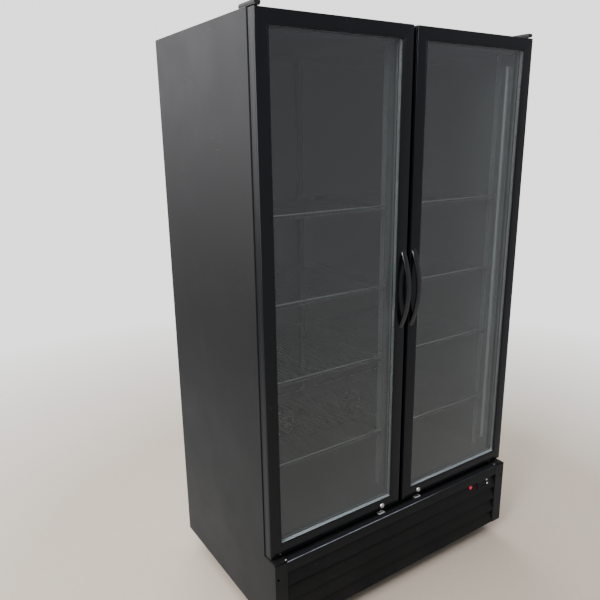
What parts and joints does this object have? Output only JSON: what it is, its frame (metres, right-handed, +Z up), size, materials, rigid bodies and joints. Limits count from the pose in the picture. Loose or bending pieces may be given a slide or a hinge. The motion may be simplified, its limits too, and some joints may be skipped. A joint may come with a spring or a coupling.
{
  "type": "glass door merchandiser",
  "caption": "Upright refrigerated display cabinet with hinged glass doors, bow handles, adjustable wire shelves, a louvred machine base and castors.",
  "frame": {"origin": "on the floor at the centre of the footprint between the handles' fronts and the cabinet's back", "axes": "+X to the right seen from the front, +Y from the doors towards the back, +Z up"},
  "size_m": [1.12, 0.714, 1.998],
  "materials": {
    "cabinet_paint": "satin",
    "grille_paint": "satin",
    "frame_gloss": "gloss",
    "black_trim": "matte",
    "liner": "satin",
    "galvanised": "satin",
    "foam": "matte",
    "compressor_black": "satin",
    "coil_fins": "satin",
    "fan_plastic": "matte",
    "copper": "satin",
    "shelf_wire": "gloss",
    "spacer_aluminium": "satin",
    "led_diffuser": "satin",
    "control_black": "gloss",
    "button_white": "satin",
    "switch_red": "gloss",
    "hinge_black": "satin",
    "chrome": "polished",
    "screw_steel": "satin",
    "wheel_rubber": "matte",
    "glass": "polished",
    "gasket": "matte",
    "handle_gloss": "gloss",
    "bush_nylon": "satin"
  },
  "bodies": {
    "cabinet": {"left_side_panel": "cabinet_paint", "right_side_panel": "cabinet_paint", "top_panel": "cabinet_paint", "rear_panel": "galvanised", "foam_insulation": "foam", "inner_liner": "liner", "front_frame": "black_trim", "center_posts": "liner", "base_chassis": "cabinet_paint", "front_grille": "grille_paint", "rear_grille": "galvanised", "compressor": "compressor_black", "condenser_coil": "coil_fins", "condenser_fan_shroud": "compressor_black", "refrigerant_pipes": "copper", "evaporator_coil": "coil_fins", "evaporator_cover": "liner", "evaporator_fan_motors": "compressor_black", "shelf_tracks": "galvanised", "shelf_clips": "galvanised", "shelves_left": "shelf_wire", "shelves_right": "shelf_wire", "led_channels": "spacer_aluminium", "led_diffusers": "led_diffuser", "controller_body": "control_black", "switch_bezel": "control_black", "top_hinge_brackets": "hinge_black", "bottom_hinge_brackets": "hinge_black", "lock_strikes": "chrome", "screws": "screw_steel", "cable_gland": "black_trim", "castor_mounts": "galvanised"},
    "left_door": {"left_door_frame": "frame_gloss", "left_door_glass": "glass", "left_door_spacer": "spacer_aluminium", "left_door_gasket": "gasket", "left_handle": "handle_gloss", "left_lock_housing": "chrome", "left_hinge_bushes": "bush_nylon"},
    "left_lock": {"left_lock_plug": "chrome"},
    "right_door": {"right_door_frame": "frame_gloss", "right_door_glass": "glass", "right_door_spacer": "spacer_aluminium", "right_door_gasket": "gasket", "right_handle": "handle_gloss", "right_lock_housing": "chrome", "right_hinge_bushes": "bush_nylon"},
    "right_lock": {"right_lock_plug": "chrome"},
    "condenser_fan": {"condenser_fan_blade": "fan_plastic"},
    "left_evaporator_fan": {"evaporator_fan_left": "fan_plastic"},
    "right_evaporator_fan": {"evaporator_fan_right": "fan_plastic"},
    "up_button": {"button_up": "button_white"},
    "down_button": {"button_down": "button_white"},
    "power_rocker": {"switch_rocker": "switch_red"},
    "front_left_fork": {"front_left_castor_fork": "galvanised"},
    "front_left_castor_wheel": {"front_left_wheel": "wheel_rubber"},
    "rear_left_castor_wheel": {"rear_left_wheel": "wheel_rubber"},
    "front_right_fork": {"front_right_castor_fork": "galvanised"},
    "front_right_castor_wheel": {"front_right_wheel": "wheel_rubber"},
    "rear_right_castor_wheel": {"rear_right_wheel": "wheel_rubber"}
  },
  "joints": [
    {"name": "left_door_hinge", "type": "hinge", "parent": "cabinet", "child": "left_door", "pos_m": [-0.545, -0.306, 1.165], "axis": [0, 0, -1], "range_deg": [0, 110]},
    {"name": "left_lock_turn", "type": "hinge", "parent": "left_door", "child": "left_lock", "pos_m": [-0.09, -0.323, 0.369], "axis": [0, -1, 0], "range_deg": [0, 90]},
    {"name": "right_door_hinge", "type": "hinge", "parent": "cabinet", "child": "right_door", "pos_m": [0.545, -0.306, 1.165], "axis": [0, 0, 1], "range_deg": [0, 110]},
    {"name": "right_lock_turn", "type": "hinge", "parent": "right_door", "child": "right_lock", "pos_m": [0.09, -0.323, 0.369], "axis": [0, -1, 0], "range_deg": [0, 90]},
    {"name": "condenser_fan_spin", "type": "hinge", "parent": "cabinet", "child": "condenser_fan", "pos_m": [-0.28, -0.223, 0.19], "axis": [0, 1, 0], "continuous": true},
    {"name": "left_evaporator_fan_spin", "type": "hinge", "parent": "cabinet", "child": "left_evaporator_fan", "pos_m": [-0.18, 0.232, 0.496], "axis": [0, 1, 0], "continuous": true},
    {"name": "right_evaporator_fan_spin", "type": "hinge", "parent": "cabinet", "child": "right_evaporator_fan", "pos_m": [0.18, 0.232, 0.496], "axis": [0, 1, 0], "continuous": true},
    {"name": "up_button_press", "type": "slide", "parent": "cabinet", "child": "up_button", "axis": [0, 0.9665, -0.2566], "range_m": [0, 0.0008], "stiffness_N_per_m": 1500},
    {"name": "down_button_press", "type": "slide", "parent": "cabinet", "child": "down_button", "axis": [0, 0.9665, -0.2566], "range_m": [0, 0.0008], "stiffness_N_per_m": 1500},
    {"name": "power_rocker_tip", "type": "hinge", "parent": "cabinet", "child": "power_rocker", "pos_m": [0.371, -0.33703, 0.28087], "axis": [-1, 0, 0], "range_deg": [0, 16]},
    {"name": "front_left_swivel", "type": "hinge", "parent": "cabinet", "child": "front_left_fork", "pos_m": [-0.48, -0.208, 0.06], "axis": [0, 0, 1], "continuous": true},
    {"name": "front_left_wheel_roll", "type": "hinge", "parent": "front_left_fork", "child": "front_left_castor_wheel", "pos_m": [-0.48, -0.19, 0.025], "axis": [1, 0, 0], "continuous": true},
    {"name": "rear_left_wheel_roll", "type": "hinge", "parent": "cabinet", "child": "rear_left_castor_wheel", "pos_m": [-0.48, 0.267, 0.025], "axis": [1, 0, 0], "continuous": true},
    {"name": "front_right_swivel", "type": "hinge", "parent": "cabinet", "child": "front_right_fork", "pos_m": [0.48, -0.208, 0.06], "axis": [0, 0, 1], "continuous": true},
    {"name": "front_right_wheel_roll", "type": "hinge", "parent": "front_right_fork", "child": "front_right_castor_wheel", "pos_m": [0.48, -0.19, 0.025], "axis": [1, 0, 0], "continuous": true},
    {"name": "rear_right_wheel_roll", "type": "hinge", "parent": "cabinet", "child": "rear_right_castor_wheel", "pos_m": [0.48, 0.267, 0.025], "axis": [1, 0, 0], "continuous": true}
  ]
}
